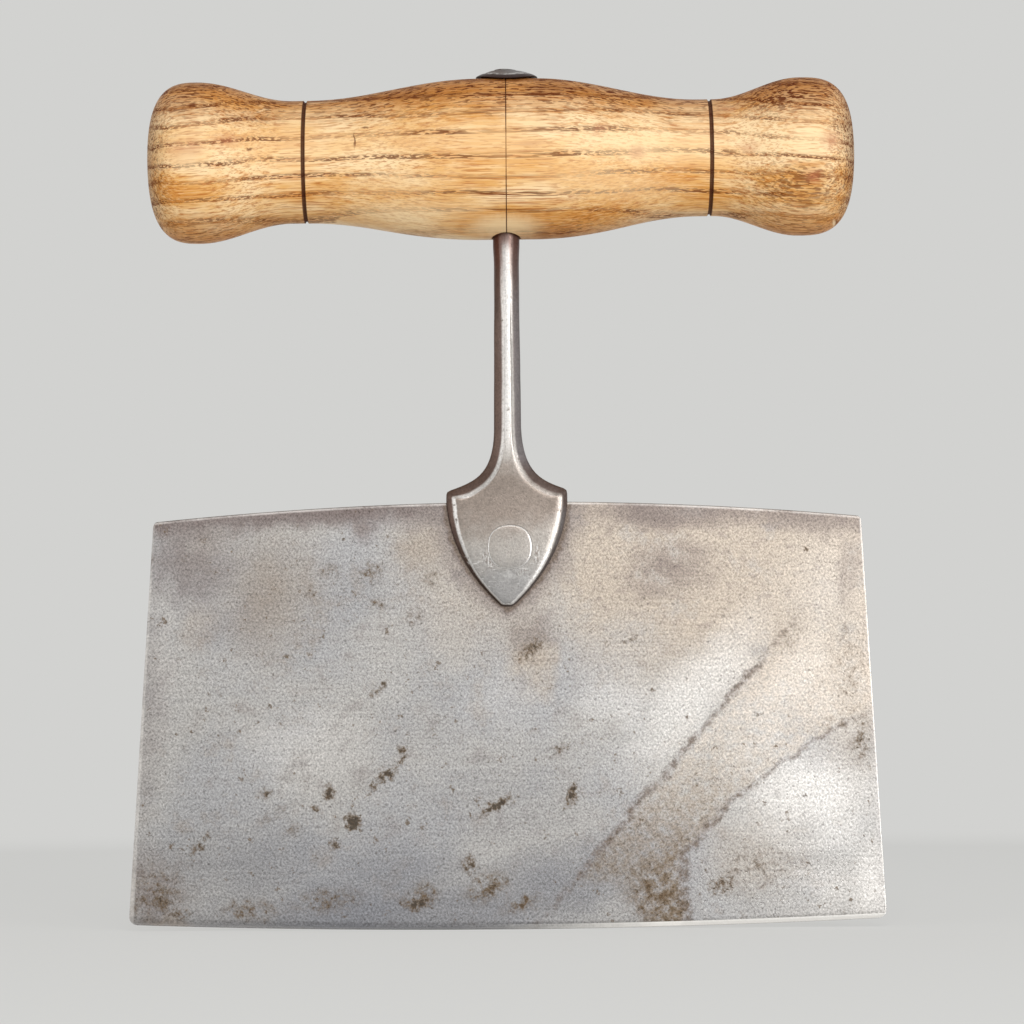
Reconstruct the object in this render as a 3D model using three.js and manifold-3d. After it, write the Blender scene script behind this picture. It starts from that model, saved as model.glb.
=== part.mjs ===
// A T-handled herb chopper. A steel blade is riveted into the split tongue of a forged tang.
// The tang's shoulder carries a turned handle, and its upper end passes through the handle
// and is peened over a bent washer.
// Millimetres. +Z runs up the tang, +X along the cutting edge and +Y through the blade.
// The origin is at the lowest point of the cutting edge, in the middle of the blade.

import * as THREE from 'three';
import { mergeVertices } from 'three/addons/utils/BufferGeometryUtils.js';
import Module from 'manifold-3d';

// Blade
const edgeWidth = 178;
const spineWidth = 167;
const bladeHeight = 100;
const edgeBelly = 2.1; // how far the edge's middle hangs below its ends
const spineArch = 4.1; // how far the spine's middle rises above its ends
const spineThickness = 2;
const edgeThickness = 1.1; // of the wedge, where the ground bevel starts from
const bevelHeight = 1.35;
const edgeLand = 0.3; // what wear has left of the sharp edge
const leftEdgeCorner = 1;
const rightEdgeCorner = 2.5; // the most worn corner
const leftSpineCorner = 0.9;
const rightSpineCorner = 1.5;

// Tang: octagonal shank, shield-shaped tongue, tapered end and peened head
const shankWidth = 6.2;
const stockDepth = 6.2;
const tangChamfer = 1.8;
const tongueWidth = 28.6;
const shoulderRise = 2.1; // shoulder corners above the spine
const shoulderSide = 2.1; // upright edge below each shoulder corner
const flareLength = 11.5; // from the shoulder corners up to the straight shank
const tongueDrop = 24.4; // tongue tip below the spine
const tipWidth = 2.6;
const tangRootWidth = 5.2;
const tangEndWidth = 4.2;
const shoulderSeat = 1.5; // how deep the shank is let into the handle
const headDiameter = 7.2;
const headHeight = 1.1;

// Tongue rivet
const rivetDrop = 10.7; // below the spine
const rivetDiameter = 6;
const rivetHeadDiameter = 10.2;
const rivetHeadDepth = 1.3;

// Handle, turned about X, with its two sides as the lathe left them
const fingerRoom = 62.6; // from the spine to the underside of the handle
const bellyDiameter = 38.7;
const bellyLand = 6; // half the length of the plain stretch round the tang
const waistLand = 4;
const leftLength = 85.2;
const leftCap = 12.2; // from the crest of the bulb to the end
const leftBulbDiameter = 38.2;
const leftWaistAt = 48.5;
const leftWaistDiameter = 29.1;
const leftGrooveAt = 47.8;
const rightLength = 82.8;
const rightCap = 12.9;
const rightBulbDiameter = 37.5;
const rightWaistAt = 45.5;
const rightWaistDiameter = 27.8;
const rightGrooveAt = 48.3;
const grooveWidth = 1;
const grooveDepth = 0.6;

// Washer, bent over the handle
const washerDiameter = 14.6;
const washerThickness = 1.3;
const washerRim = 0.5;

// Clearances
const slotGap = 0.1;
const rivetGap = 0.1;
const boreGap = 0.2;
const seatGap = 0.15;
const headGap = 0.1;

// Shape factors, without a unit
const capPower = 2.8; // roundness of the handle's ends: 2 is an ellipse, more is squarer
const flarePull = [0.64, 0.29, 0.22]; // down the shank, out along the shoulder, up from it
const sidePull = [0.37, 0.94, 0.3, 0.67]; // the tongue side's two handles: drop and width of each
const spreadPerEdge = 1 / Math.cos(Math.PI / 8); // an octagon's corner radius for its flat radius

// Facets
const roundSides = 36;
const blendSteps = 7;
const capSteps = 8;
const curveSteps = 8;
const bladeColumns = 24;
const cutOvershoot = 2; // how far cutting bodies pass the faces they open

const handleAxis = bladeHeight + fingerRoom + bellyDiameter / 2;
const shankTop = bladeHeight + fingerRoom + shoulderSeat;
const washerBase = bellyDiameter / 2 + seatGap; // above the handle's axis
const rivetHeight = bladeHeight - rivetDrop;

const wasm = await Module();
wasm.setup();

// A closed geometry as a body that can be joined and cut.
function body(geometry) {
  const bare = geometry.clone();
  bare.deleteAttribute('normal');
  bare.deleteAttribute('uv');
  const merged = mergeVertices(bare);
  const triangles = [];
  for (let i = 0; i < merged.index.count; i += 3) {
    const [a, b, c] = [0, 1, 2].map((corner) => merged.index.getX(i + corner));
    if (a !== b && b !== c && c !== a) triangles.push(a, b, c);
  }
  const mesh = new wasm.Mesh({
    numProp: 3,
    vertProperties: Float32Array.from(merged.attributes.position.array),
    triVerts: Uint32Array.from(triangles),
  });
  return new wasm.Manifold(mesh);
}

// A named mesh of a finished body, with its own material.
function piece(name, solid, color, roughness, metalness) {
  const { vertProperties, triVerts } = solid.getMesh();
  const geometry = new THREE.BufferGeometry();
  geometry.setAttribute('position', new THREE.BufferAttribute(vertProperties, 3));
  geometry.setIndex(new THREE.BufferAttribute(triVerts, 1));
  geometry.computeVertexNormals();
  const mesh = new THREE.Mesh(geometry, new THREE.MeshStandardMaterial({ color, roughness, metalness }));
  mesh.name = name;
  return mesh;
}

// Moves every vertex of a geometry to where place puts it.
function reshape(geometry, place) {
  const position = geometry.attributes.position;
  const point = new THREE.Vector3();
  for (let i = 0; i < position.count; i += 1) {
    point.fromBufferAttribute(position, i);
    place(point);
    position.setXYZ(i, point.x, point.y, point.z);
  }
  return geometry;
}

// An outline in X and Z, extruded evenly to both sides of the blade's middle plane.
function extrudeAcross(shape, depth, options) {
  const geometry = new THREE.ExtrudeGeometry(shape, { depth, curveSegments: curveSteps, ...options });
  geometry.translate(0, 0, -depth / 2);
  return body(geometry.rotateX(Math.PI / 2));
}

// An upright octagonal bar with flats facing front and back.
function octagonBar(bottomWidth, topWidth, bottom, top) {
  const geometry = new THREE.CylinderGeometry(
    (topWidth / 2) * spreadPerEdge,
    (bottomWidth / 2) * spreadPerEdge,
    top - bottom,
    8,
  );
  geometry.rotateY(Math.PI / 8).rotateX(Math.PI / 2);
  return body(geometry.translate(0, 0, (top + bottom) / 2));
}

const edgeHeight = (x) => edgeBelly * (x / (edgeWidth / 2)) ** 2;
const spineHeight = (x) => bladeHeight - spineArch * (x / (spineWidth / 2)) ** 2;

// Half the blade's thickness at a height, on the flat of the wedge.
function wedgeHalf(z) {
  return (edgeThickness + ((spineThickness - edgeThickness) * z) / bladeHeight) / 2;
}

// The blade's front view: a belly along the edge, an arch along the spine, four worn corners.
function bladeOutline() {
  const halfEdge = edgeWidth / 2;
  const halfSpine = spineWidth / 2;
  const edgeCorner = new THREE.Vector2(halfEdge, edgeBelly);
  const spineCorner = new THREE.Vector2(halfSpine, bladeHeight - spineArch);
  const along = (from, to, distance) => to.clone().sub(from).setLength(distance).add(from);
  const rightLow = along(edgeCorner, spineCorner, rightEdgeCorner);
  const rightHigh = along(spineCorner, edgeCorner, rightSpineCorner);
  const leftLow = along(edgeCorner, spineCorner, leftEdgeCorner);
  const leftHigh = along(spineCorner, edgeCorner, leftSpineCorner);
  const edgeRun = [leftEdgeCorner - halfEdge, halfEdge - rightEdgeCorner];
  const spineRun = [leftSpineCorner - halfSpine, halfSpine - rightSpineCorner];
  const middle = ([a, b]) => (a + b) / 2;
  const edgePull = (edgeBelly * edgeRun[0] * edgeRun[1]) / halfEdge ** 2;
  const spinePull = bladeHeight - (spineArch * spineRun[0] * spineRun[1]) / halfSpine ** 2;

  const shape = new THREE.Shape();
  shape.moveTo(edgeRun[0], edgeHeight(edgeRun[0]));
  shape.quadraticCurveTo(middle(edgeRun), edgePull, edgeRun[1], edgeHeight(edgeRun[1]));
  shape.quadraticCurveTo(edgeCorner.x, edgeCorner.y, rightLow.x, rightLow.y);
  shape.lineTo(rightHigh.x, rightHigh.y);
  shape.quadraticCurveTo(spineCorner.x, spineCorner.y, spineRun[1], spineHeight(spineRun[1]));
  shape.quadraticCurveTo(middle(spineRun), spinePull, spineRun[0], spineHeight(spineRun[0]));
  shape.quadraticCurveTo(-spineCorner.x, spineCorner.y, -leftHigh.x, leftHigh.y);
  shape.lineTo(-leftLow.x, leftLow.y);
  shape.quadraticCurveTo(-edgeCorner.x, edgeCorner.y, edgeRun[0], edgeHeight(edgeRun[0]));
  return shape;
}

// The blade's section, a wedge with a bevel that follows the belly of the edge, wider and
// taller than the outline. spare is added to each face.
function bladeWedge(spare, top) {
  const bevelTop = (x) => edgeHeight(x) + bevelHeight;
  const bevelSlope = (x) => (wedgeHalf(bevelTop(x)) - edgeLand / 2) / bevelHeight;
  const halfWidth = edgeWidth / 2 + cutOvershoot;
  const box = new THREE.BoxGeometry(2, 2, 2, bladeColumns, 1, 2);
  reshape(box, (point) => {
    const row = Math.round(point.z);
    const side = point.y;
    point.x *= halfWidth;
    if (row === 1) point.z = top;
    if (row === 0) point.z = bevelTop(point.x);
    if (row >= 0) {
      point.y = side * (wedgeHalf(point.z) + spare);
      return;
    }
    const belowEdge = edgeLand / 4 / bevelSlope(point.x);
    point.z = edgeHeight(point.x) - belowEdge;
    point.y = side * (edgeLand / 4 + spare);
  });
  return body(box);
}

// The rivet turned about Y, countersunk at both ends; spare widens it and runs it past the faces.
function rivetBody(spare) {
  const face = stockDepth / 2;
  const neck = face - rivetHeadDepth;
  const headRadius = rivetHeadDiameter / 2 + spare;
  const neckRadius = rivetDiameter / 2 + spare;
  const profile = [[0, -face], [headRadius, -face], [neckRadius, -neck]];
  profile.push([neckRadius, neck], [headRadius, face], [0, face]);
  if (spare > 0) {
    profile.splice(0, 1, [0, -face - cutOvershoot], [headRadius, -face - cutOvershoot]);
    profile.splice(-1, 1, [headRadius, face + cutOvershoot], [0, face + cutOvershoot]);
  }
  const points = profile.map(([radius, y]) => new THREE.Vector2(radius, y));
  return body(new THREE.LatheGeometry(points, roundSides).translate(0, 0, rivetHeight));
}

function makeBlade() {
  const plate = extrudeAcross(bladeOutline(), stockDepth, { bevelEnabled: false });
  const wedge = bladeWedge(0, bladeHeight + cutOvershoot);
  return plate.intersect(wedge).subtract(rivetBody(rivetGap));
}

// The tang's front view, from the tip of the tongue up past the top of the shank.
function tangOutline() {
  const shank = shankWidth / 2;
  const tongue = tongueWidth / 2;
  const tip = tipWidth / 2;
  const shoulder = bladeHeight + shoulderRise;
  const sideTop = shoulder - shoulderSide;
  const flareTop = shoulder + flareLength;
  const tipHeight = bladeHeight - tongueDrop;
  const sideDrop = sideTop - tipHeight;
  const flare = [
    [shank, flareTop - flareLength * flarePull[0]],
    [shank + (tongue - shank) * flarePull[1], shoulder + flareLength * flarePull[2]],
  ];
  const side = [
    [tongue * sidePull[1], sideTop - sideDrop * sidePull[0]],
    [tongue * sidePull[3], tipHeight + sideDrop * sidePull[2]],
  ];

  const shape = new THREE.Shape();
  shape.moveTo(-tip, tipHeight);
  shape.lineTo(tip, tipHeight);
  shape.bezierCurveTo(...side[1], ...side[0], tongue, sideTop);
  shape.lineTo(tongue, shoulder);
  shape.bezierCurveTo(...flare[1], ...flare[0], shank, flareTop);
  shape.lineTo(shank, shankTop + tangChamfer + cutOvershoot);
  shape.lineTo(-shank, shankTop + tangChamfer + cutOvershoot);
  shape.lineTo(-shank, flareTop);
  shape.bezierCurveTo(-flare[0][0], flare[0][1], -flare[1][0], flare[1][1], -tongue, shoulder);
  shape.lineTo(-tongue, sideTop);
  shape.bezierCurveTo(-side[0][0], side[0][1], -side[1][0], side[1][1], -tip, tipHeight);
  return shape;
}

// What the shank leaves above the shoulder that carries the handle.
function aboveShoulder() {
  const height = tangChamfer + 2 * cutOvershoot;
  const box = new THREE.BoxGeometry(2 * shankWidth, 2 * stockDepth, height);
  return body(box.translate(0, 0, shankTop + height / 2));
}

// The top of the washer at a distance from its centre, above the washer's base.
function washerTop(radius) {
  const share = radius / (washerDiameter / 2);
  return washerThickness + (washerRim - washerThickness) * share ** 2;
}

// Bends a geometry that lies on the base of the washer down over the handle, and lifts it there.
function bendOverHandle(geometry) {
  return reshape(geometry, (point) => {
    const radius = handleRadius(point.x) + seatGap;
    point.z += handleAxis + Math.sqrt(radius ** 2 - point.y ** 2);
  });
}

// A lathe profile of [radius, height] pairs turned about Z.
function turnUpright(profile) {
  const points = profile.map(([radius, height]) => new THREE.Vector2(radius, height));
  return new THREE.LatheGeometry(points, roundSides).rotateX(Math.PI / 2);
}

function steps(from, to, count) {
  return Array.from({ length: count + 1 }, (_, i) => from + ((to - from) * i) / count);
}

// The peened end: a low dome spread over the washer.
function peenedHead() {
  const rim = headDiameter / 2;
  const rimEdge = headHeight / 4;
  const under = (radius) => washerTop(radius) + headGap;
  const peak = under(0) + headHeight;
  const dome = (radius) => peak + (under(rim) + rimEdge - peak) * (radius / rim) ** 2;
  const seat = steps(0, rim, 3).map((radius) => [radius, under(radius)]);
  const crown = steps(rim, 0, 4).map((radius) => [radius, dome(radius)]);
  return body(bendOverHandle(turnUpright([...seat, ...crown])));
}

// The tapered end that runs from the shoulder through the handle and the washer.
function taperedEnd(spare) {
  const bottom = shankTop - (spare > 0 ? cutOvershoot : tangRootWidth);
  const top = handleAxis + washerBase + washerThickness + headHeight / 2;
  const extra = spare > 0 ? cutOvershoot : 0;
  return octagonBar(tangRootWidth + 2 * spare, tangEndWidth + 2 * spare, bottom, top + extra);
}

function makeTang() {
  const chamfered = {
    bevelEnabled: true,
    bevelThickness: tangChamfer,
    bevelSize: tangChamfer,
    bevelOffset: -tangChamfer,
    bevelSegments: 1,
  };
  const forging = extrudeAcross(tangOutline(), stockDepth - 2 * tangChamfer, chamfered);
  return forging
    .subtract(aboveShoulder())
    .add(taperedEnd(0))
    .add(peenedHead())
    .subtract(bladeWedge(slotGap, bladeHeight + slotGap))
    .subtract(rivetBody(rivetGap));
}

const leftSide = {
  sign: -1,
  length: leftLength,
  bulbAt: leftLength - leftCap,
  bulb: leftBulbDiameter / 2,
  waistAt: leftWaistAt,
  waist: leftWaistDiameter / 2,
  grooveAt: leftGrooveAt,
};
const rightSide = {
  sign: 1,
  length: rightLength,
  bulbAt: rightLength - rightCap,
  bulb: rightBulbDiameter / 2,
  waistAt: rightWaistAt,
  waist: rightWaistDiameter / 2,
  grooveAt: rightGrooveAt,
};

// A smooth S from one radius to another.
function blend(from, to, share) {
  return from + ((to - from) * (1 - Math.cos(Math.PI * share))) / 2;
}

// The handle's radius at x, without its grooves: belly, waist, bulb and rounded end.
function handleRadius(x) {
  const side = x < 0 ? leftSide : rightSide;
  const along = Math.abs(x);
  const waistStart = side.waistAt - waistLand / 2;
  const waistEnd = side.waistAt + waistLand / 2;
  const belly = bellyDiameter / 2;
  if (along <= bellyLand) return belly;
  const share = (from, to) => (along - from) / (to - from);
  if (along < waistStart) return blend(belly, side.waist, share(bellyLand, waistStart));
  if (along <= waistEnd) return side.waist;
  if (along < side.bulbAt) return blend(side.waist, side.bulb, share(waistEnd, side.bulbAt));
  const cap = Math.min(1, share(side.bulbAt, side.length));
  return side.bulb * (1 - cap ** capPower) ** (1 / capPower);
}

// One side's profile from the belly out to the end, as [x, radius] pairs.
function sideProfile(side) {
  const cap = steps(0, Math.PI / 2, capSteps).map((turn) => Math.sin(turn) ** (2 / capPower));
  const stations = [
    ...steps(bellyLand, side.waistAt - waistLand / 2, blendSteps),
    ...steps(side.waistAt + waistLand / 2, side.bulbAt, blendSteps),
    ...cap.slice(1).map((share) => side.bulbAt + share * (side.length - side.bulbAt)),
  ];
  const clear = stations.filter((along) => Math.abs(along - side.grooveAt) > grooveWidth);
  const profile = clear.map((along) => [along, handleRadius(side.sign * along)]);
  for (const edge of [-1, 1]) {
    const lip = side.grooveAt + (edge * grooveWidth) / 2;
    const floor = side.grooveAt + (edge * grooveWidth) / 5;
    profile.push([lip, handleRadius(side.sign * lip)]);
    profile.push([floor, handleRadius(side.sign * floor) - grooveDepth]);
  }
  profile.sort((a, b) => a[0] - b[0]);
  return profile.map(([along, radius]) => new THREE.Vector2(radius, side.sign * along));
}

function makeHandle() {
  const points = [...sideProfile(leftSide).reverse(), ...sideProfile(rightSide)];
  const turned = new THREE.LatheGeometry(points, roundSides).rotateZ(-Math.PI / 2);
  const mouthWidth = shankWidth + 2 * boreGap;
  const mouthBottom = handleAxis - bellyDiameter / 2 - cutOvershoot;
  return body(turned.translate(0, 0, handleAxis))
    .subtract(taperedEnd(boreGap))
    .subtract(octagonBar(mouthWidth, mouthWidth, mouthBottom, shankTop + seatGap));
}

function makeWasher() {
  const rim = washerDiameter / 2;
  const hole = (tangEndWidth / 2) * spreadPerEdge + boreGap;
  const under = steps(hole, rim, 4).map((radius) => [radius, 0]);
  const over = steps(rim, hole, 4).map((radius) => [radius, washerTop(radius)]);
  return body(bendOverHandle(turnUpright([...under, ...over, under[0]])));
}

const chopper = new THREE.Group();
chopper.add(piece('blade', makeBlade(), 0xaaa6a2, 0.45, 0.9));
chopper.add(piece('tang', makeTang(), 0x8c837b, 0.4, 0.9));
chopper.add(piece('tongue_rivet', rivetBody(0), 0x9c948c, 0.4, 0.9));
chopper.add(piece('handle', makeHandle(), 0xcf9a5c, 0.45, 0));
chopper.add(piece('tang_washer', makeWasher(), 0x6e675f, 0.5, 0.8));

export default chopper;
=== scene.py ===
import math

import bmesh
import bpy
from mathutils import Matrix, Vector


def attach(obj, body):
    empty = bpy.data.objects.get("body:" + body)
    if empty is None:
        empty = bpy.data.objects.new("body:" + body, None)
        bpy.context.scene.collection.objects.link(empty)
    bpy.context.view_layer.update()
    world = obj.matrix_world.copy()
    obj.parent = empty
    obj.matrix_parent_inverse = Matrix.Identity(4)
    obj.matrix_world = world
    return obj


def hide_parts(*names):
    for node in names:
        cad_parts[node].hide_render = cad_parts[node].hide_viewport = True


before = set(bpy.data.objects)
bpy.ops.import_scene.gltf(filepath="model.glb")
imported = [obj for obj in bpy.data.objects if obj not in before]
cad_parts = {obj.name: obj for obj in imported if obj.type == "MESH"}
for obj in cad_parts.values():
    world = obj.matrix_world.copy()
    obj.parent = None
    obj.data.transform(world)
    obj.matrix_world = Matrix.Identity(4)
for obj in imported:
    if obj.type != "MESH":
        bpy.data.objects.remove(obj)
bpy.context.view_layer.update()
mm = 0.001
print("frame loaded:", ", ".join(sorted(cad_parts)))

cameraSetup = {
    "lens": 116.0,
    "sensor": 36.0,
    "distance": 778.0,
    "height": 43.0,  # below the middle of the tool, looking slightly up
    "aimHeight": 98.0,
    "right": 1.2,
    "roll": 0.38,
}


def setCamera(setup):
    place = Vector((setup["right"], -setup["distance"], setup["height"])) * mm
    aim = Vector((setup["right"], 0, setup["aimHeight"])) * mm
    bpy.ops.object.camera_add(location=place)
    eye = bpy.context.object
    eye.name = "benchCamera"
    look = (aim - place).to_track_quat("-Z", "Y").to_matrix().to_4x4()
    lean = Matrix.Rotation(math.radians(-setup["roll"]), 4, "Z")
    eye.matrix_world = Matrix.Translation(place) @ look @ lean
    eye.data.lens = setup["lens"]
    eye.data.sensor_width = setup["sensor"]
    bpy.context.scene.camera = eye


setCamera(cameraSetup)
print("camera set")


# Shader maths: a wire is one output socket, and sums on wires add Math nodes
class Wire:
    def __init__(self, nodes, socket):
        self.nodes = nodes
        self.socket = socket

    def sum(self, operation, first, second=0.0):
        return self.nodes.add("ShaderNodeMath", {"operation": operation}, {0: first, 1: second})

    def __add__(self, other):
        return self.sum("ADD", self, other)

    def __radd__(self, other):
        return self.sum("ADD", other, self)

    def __sub__(self, other):
        return self.sum("SUBTRACT", self, other)

    def __rsub__(self, other):
        return self.sum("SUBTRACT", other, self)

    def __mul__(self, other):
        return self.sum("MULTIPLY", self, other)

    def __rmul__(self, other):
        return self.sum("MULTIPLY", other, self)

    def __truediv__(self, other):
        return self.sum("DIVIDE", self, other)

    def __abs__(self):
        return self.sum("ABSOLUTE", self)

    def most(self, other):
        return self.sum("MAXIMUM", self, other)

    def least(self, other):
        return self.sum("MINIMUM", self, other)

    def root(self):
        return self.sum("SQRT", self)


# The nodes of one material or world
class Nodes:
    def __init__(self, owner):
        owner.use_nodes = True
        self.tree = owner.node_tree

    # Any node: its type, its settings, then the values or wires of its sockets
    def add(self, kind, settings=None, sockets=None, output=0):
        node = self.tree.nodes.new(kind)
        for key, value in (settings or {}).items():
            setattr(node, key, value)
        for key, value in (sockets or {}).items():
            self.feed(node.inputs[key], value)
        return Wire(self, node.outputs[output])

    def feed(self, socket, value):
        if isinstance(value, Wire):
            self.tree.links.new(value.socket, socket)
        else:
            socket.default_value = value

    def show(self, surface):
        outlet = self.tree.nodes.new("ShaderNodeOutputMaterial")
        self.feed(outlet.inputs["Surface"], surface)

    def vectorSum(self, operation, sockets, output=0):
        return self.add("ShaderNodeVectorMath", {"operation": operation}, sockets, output)

    # 0 below low, 1 above high, smooth between; high may be the lower one
    def fade(self, value, low, high):
        ends = {"From Min": min(low, high), "From Max": max(low, high)}
        ends["To Min"], ends["To Max"] = (0.0, 1.0) if low < high else (1.0, 0.0)
        settings = {"interpolation_type": "SMOOTHSTEP", "clamp": True}
        return self.add("ShaderNodeMapRange", settings, {"Value": value, **ends})


# A piece's finish: places are in mm, and colours are laid over each other by their names in its setup
class Finish(Nodes):
    def __init__(self, name, setup):
        self.material = bpy.data.materials.new(name)
        super().__init__(self.material)
        self.tree.nodes.clear()
        surface = self.add("ShaderNodeBsdfPrincipled")
        self.shader = surface.socket.node
        self.show(surface)
        spot = self.add("ShaderNodeTexCoord", output="Object")
        self.place = self.vectorSum("SCALE", {0: spot, "Scale": 1 / mm})
        self.setup = setup
        self.color = None

    def lay(self, color, share, blend="MIX"):
        over = self.setup[color] if isinstance(color, str) else color
        self.color = self.mix(self.color, over, share, blend)

    def set(self, values):
        for name, value in values.items():
            self.feed(self.shader.inputs[name], value)

    def axes(self, place):
        parts = self.add("ShaderNodeSeparateXYZ", None, {0: place})
        return [Wire(self, socket) for socket in parts.socket.node.outputs]

    def vector(self, x, y, z):
        return self.add("ShaderNodeCombineXYZ", None, {0: x, 1: y, 2: z})

    def stretch(self, place, x, y, z):
        return self.vectorSum("MULTIPLY", {0: place, 1: (x, y, z)})

    def noise(self, place, scale, detail=2.0, rough=0.5, output=0):
        sockets = {"Vector": place, "Scale": scale, "Detail": detail, "Roughness": rough}
        return self.add("ShaderNodeTexNoise", None, sockets, output)

    # Pushes a place about by up to reach, for ragged edges
    def ragged(self, place, scale, reach, detail=3.0):
        push = self.noise(place, scale, detail, 0.6, "Color")
        centred = self.vectorSum("SUBTRACT", {0: push, 1: (0.5, 0.5, 0.5)})
        grown = self.vectorSum("SCALE", {0: centred, "Scale": 2 * reach})
        return self.vectorSum("ADD", {0: place, 1: grown})

    def mix(self, first, second, share, blend="MIX"):
        settings = {"data_type": "RGBA", "blend_type": blend, "clamp_factor": True}
        return self.add("ShaderNodeMix", settings, {0: share, 6: first, 7: second}, 2)

    # An oval patch of a given size in the X and Z plane, turned by degrees
    def patch(self, place, x, z, width, height, turn, core):
        c, s = math.cos(math.radians(turn)), math.sin(math.radians(turn))
        reach = None
        for axis in ((c * 2 / width, 0, s * 2 / width), (-s * 2 / height, 0, c * 2 / height)):
            step = self.vectorSum("DOT_PRODUCT", {0: place, 1: axis}, "Value")
            step = step - (x * axis[0] + z * axis[2])
            reach = step * step if reach is None else reach + step * step
        return self.fade(reach.root(), 1.0, core)

    # The strongest of a setup's patches, each with a strength of its own
    def patches(self, place, name, core=0.0):
        total = None
        for x, z, width, height, turn, strength in self.setup[name]:
            one = self.patch(place, x, z, width, height, turn, core) * strength
            total = one if total is None else total.most(one)
        return total

    def bump(self, height, strength, distance):
        sockets = {"Height": height, "Strength": strength, "Distance": distance * mm}
        return self.add("ShaderNodeBump", None, sockets)


# A screen colour, 0 to 255, as the linear colour that shaders take
def tone(red, green, blue):
    def linear(level):
        share = level / 255
        return share / 12.92 if share <= 0.04045 else ((share + 0.055) / 1.055) ** 2.4
    return (linear(red), linear(green), linear(blue), 1.0)


# Modelling by hand: everything is deselected first, then picked by place or normal
def openEdit():
    bpy.ops.object.mode_set(mode="EDIT")


def closeEdit():
    bpy.ops.object.mode_set(mode="OBJECT")


def pickAll():
    bpy.ops.mesh.select_all(action="SELECT")


def clearAll():
    if bpy.context.object and bpy.context.object.mode != "OBJECT":
        closeEdit()
    bpy.ops.object.select_all(action="DESELECT")


def drawChain(name, points):
    clearAll()
    bpy.ops.mesh.primitive_plane_add(size=mm)
    piece = bpy.context.object
    piece.name = name
    piece.data.name = name
    openEdit()
    bpy.ops.mesh.select_mode(type="VERT")
    pickAll()
    bpy.ops.mesh.merge(type="CENTER")
    here = Vector((0, 0, 0))
    for count, point in enumerate(points):
        step = Vector(point) * mm - here
        if count == 0:
            bpy.ops.transform.translate(value=step)
        else:
            bpy.ops.mesh.extrude_vertices_move(TRANSFORM_OT_translate={"value": step})
        here = here + step
    return piece


def pick(piece, kind, test):
    mode = {"verts": "VERT", "edges": "EDGE", "faces": "FACE"}
    bpy.ops.mesh.select_mode(type=mode[kind])
    bpy.ops.mesh.select_all(action="DESELECT")
    mesh = bmesh.from_edit_mesh(piece.data)
    mesh.normal_update()
    for part in getattr(mesh, kind):
        if test(part):
            part.select_set(True)
    mesh.select_flush_mode()
    bmesh.update_edit_mesh(piece.data)


# Extrudes what is picked
def pull(x, y, z):
    step = (x * mm, y * mm, z * mm)
    bpy.ops.mesh.extrude_region_move(TRANSFORM_OT_translate={"value": step})


# Spins a whole drawing once round an axis
def spinRound(steps, center, axis):
    pickAll()
    middle = [part * mm for part in center]
    bpy.ops.mesh.spin(steps=steps, angle=2 * math.pi, center=middle, axis=axis)


def sortOut(merge=0.002):
    pickAll()
    bpy.ops.mesh.remove_doubles(threshold=merge * mm)
    bpy.ops.mesh.normals_make_consistent(inside=False)


def moveVerts(piece, place):
    mesh = bmesh.from_edit_mesh(piece.data)
    for vert in mesh.verts:
        vert.co = Vector(place(*(vert.co / mm))) * mm
    bmesh.update_edit_mesh(piece.data)


def sliceUp(axis, stations):
    side = [Vector((1, 0, 0)), Vector((0, 1, 0)), Vector((0, 0, 1))][axis]
    for station in stations:
        pickAll()
        bpy.ops.mesh.bisect(plane_co=side * station * mm, plane_no=side, threshold=0.0005 * mm)


def roughen(piece, name, grain, strength, direction="NORMAL", depth=2):
    cloud = bpy.data.textures.new(name, "CLOUDS")
    cloud.noise_scale = grain * mm
    cloud.noise_depth = depth
    dent = piece.modifiers.new(name, "DISPLACE")
    dent.texture = cloud
    dent.texture_coords = "LOCAL"
    dent.direction = direction
    dent.strength = strength * mm
    dent.mid_level = 0.5
    bpy.ops.object.modifier_apply(modifier=name)


def take(piece):
    clearAll()
    bpy.context.view_layer.objects.active = piece
    piece.select_set(True)


def cutWith(piece, cutter, name):
    take(piece)
    cut = piece.modifiers.new(name, "BOOLEAN")
    cut.operation = "DIFFERENCE"
    cut.solver = "EXACT"
    cut.object = cutter
    bpy.ops.object.modifier_apply(modifier=name)
    bpy.data.objects.remove(cutter)


def finishPiece(piece, finish, node, angle):
    take(piece)
    bpy.ops.object.shade_smooth_by_angle(angle=math.radians(angle))
    piece.data.materials.clear()
    piece.data.materials.append(finish.material)
    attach(piece, "root")
    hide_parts(node)
    print(piece.name, "stands for", node, "with", len(piece.data.polygons), "faces")


def spread(start, end, count):
    return [start + (end - start) * step / count for step in range(count + 1)]


def curve(start, first, second, end, count):
    points = []
    for share in spread(0, 1, count):
        rest = 1 - share
        pulls = (rest ** 3, 3 * rest ** 2 * share, 3 * rest * share ** 2, share ** 3)
        corners = (start, first, second, end)
        points.append(tuple(sum(p * c[axis] for p, c in zip(pulls, corners)) for axis in (0, 1)))
    return points


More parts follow.
